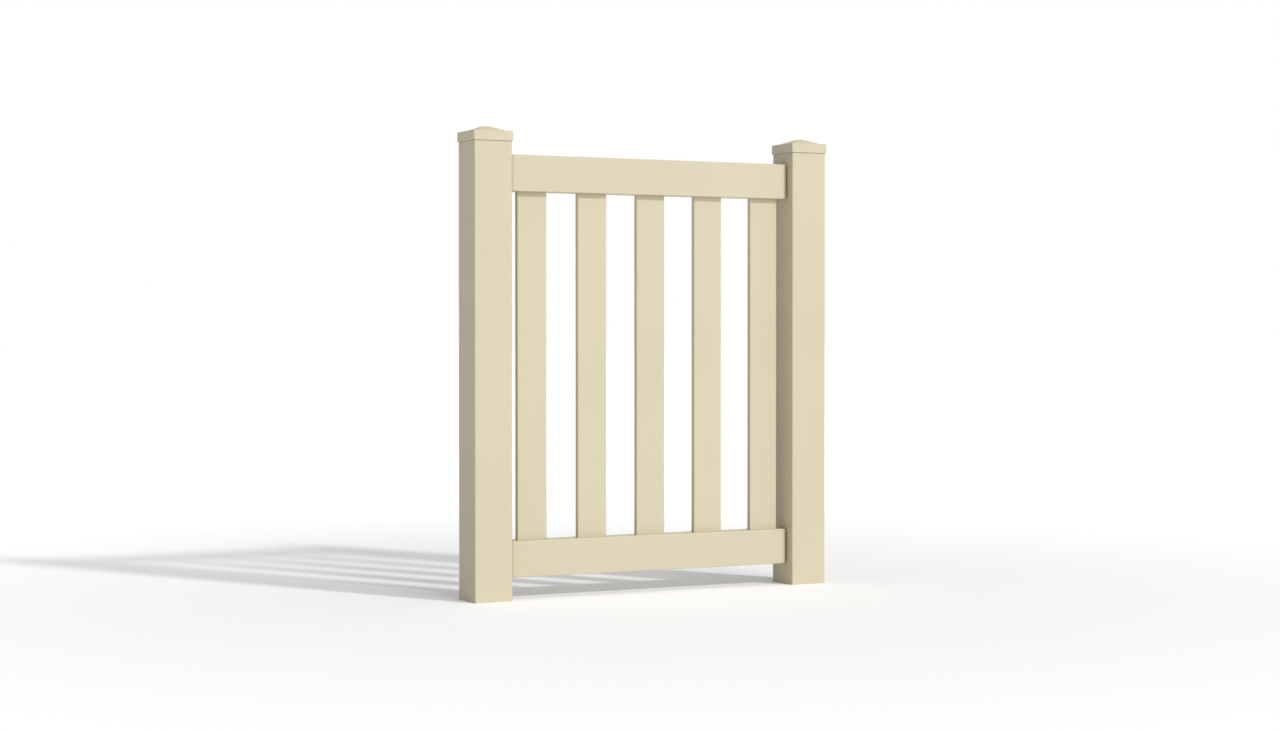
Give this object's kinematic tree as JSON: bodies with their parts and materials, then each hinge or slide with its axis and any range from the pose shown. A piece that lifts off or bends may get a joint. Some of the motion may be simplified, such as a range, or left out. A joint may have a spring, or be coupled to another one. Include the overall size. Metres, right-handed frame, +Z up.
{
  "type": "garden gate",
  "caption": "Single-leaf picket garden gate hung between two capped square posts, with pin hinges and a slide bolt on the rear.",
  "frame": {"origin": "on the ground, midway between the two posts and midway through their depth", "axes": "+Z up; +X from the latch post to the hinge post; +Y to the garden side, which the leaf opens to and which carries the hinges and the bolt"},
  "size_m": [1.005, 0.105, 1.1645],
  "materials": {
    "vinyl": "smooth satin almond extrusion",
    "collar": "moulded grey",
    "nylon": "natural",
    "hardware": "satin black powder coat",
    "stainless": "stainless",
    "galvanised": "hot-dip galvanised",
    "aluminium": "mill"
  },
  "bodies": {
    "posts": {"bottom_hinge_pin": "stainless", "bottom_hinge_post_leaf": "hardware", "bottom_hinge_post_screw_1": "stainless", "bottom_hinge_post_screw_2": "stainless", "bottom_hinge_post_screw_3": "stainless", "bottom_hinge_post_screw_4": "stainless", "hinge_post": "vinyl", "hinge_post_anchor": "galvanised", "hinge_post_cap": "vinyl", "hinge_post_collar_high": "collar", "hinge_post_collar_low": "collar", "hinge_post_collar_middle": "collar", "latch_post": "vinyl", "latch_post_anchor": "galvanised", "latch_post_cap": "vinyl", "latch_post_collar_high": "collar", "latch_post_collar_low": "collar", "latch_post_collar_middle": "collar", "strike_plate": "hardware", "strike_plate_screw_1": "stainless", "strike_plate_screw_2": "stainless", "top_hinge_pin": "stainless", "top_hinge_post_leaf": "hardware", "top_hinge_post_screw_1": "stainless", "top_hinge_post_screw_2": "stainless", "top_hinge_post_screw_3": "stainless", "top_hinge_post_screw_4": "stainless"},
    "gate_leaf": {"bolt_plate": "hardware", "bolt_plate_screw_1": "stainless", "bolt_plate_screw_2": "stainless", "bolt_plate_screw_3": "stainless", "bolt_plate_screw_4": "stainless", "bottom_hinge_strap": "hardware", "bottom_hinge_strap_screw_1": "stainless", "bottom_hinge_strap_screw_2": "stainless", "bottom_hinge_strap_screw_3": "stainless", "bottom_hinge_washer_lower": "nylon", "bottom_hinge_washer_upper": "nylon", "bottom_rail": "vinyl", "bottom_rail_plug_hinge_side": "vinyl", "bottom_rail_plug_latch_side": "vinyl", "bottom_rail_stiffener": "aluminium", "picket_1": "vinyl", "picket_2": "vinyl", "picket_3": "vinyl", "picket_4": "vinyl", "picket_5": "vinyl", "top_hinge_strap": "hardware", "top_hinge_strap_screw_1": "stainless", "top_hinge_strap_screw_2": "stainless", "top_hinge_strap_screw_3": "stainless", "top_hinge_washer_lower": "nylon", "top_hinge_washer_upper": "nylon", "top_rail": "vinyl", "top_rail_plug_hinge_side": "vinyl", "top_rail_plug_latch_side": "vinyl", "top_rail_stiffener": "aluminium"},
    "bolt": {"bolt_knob": "hardware", "bolt_rod": "hardware"}
  },
  "joints": [
    {"name": "gate_swing", "type": "hinge", "parent": "posts", "child": "gate_leaf", "pos_m": [0.3925, 0.0325, 0.575], "axis": [0, 0, -1], "range_deg": [0, 115]},
    {"name": "bolt_slide", "type": "slide", "parent": "gate_leaf", "child": "bolt", "axis": [-1, 0, 0], "range_m": [0, 0.03]}
  ]
}
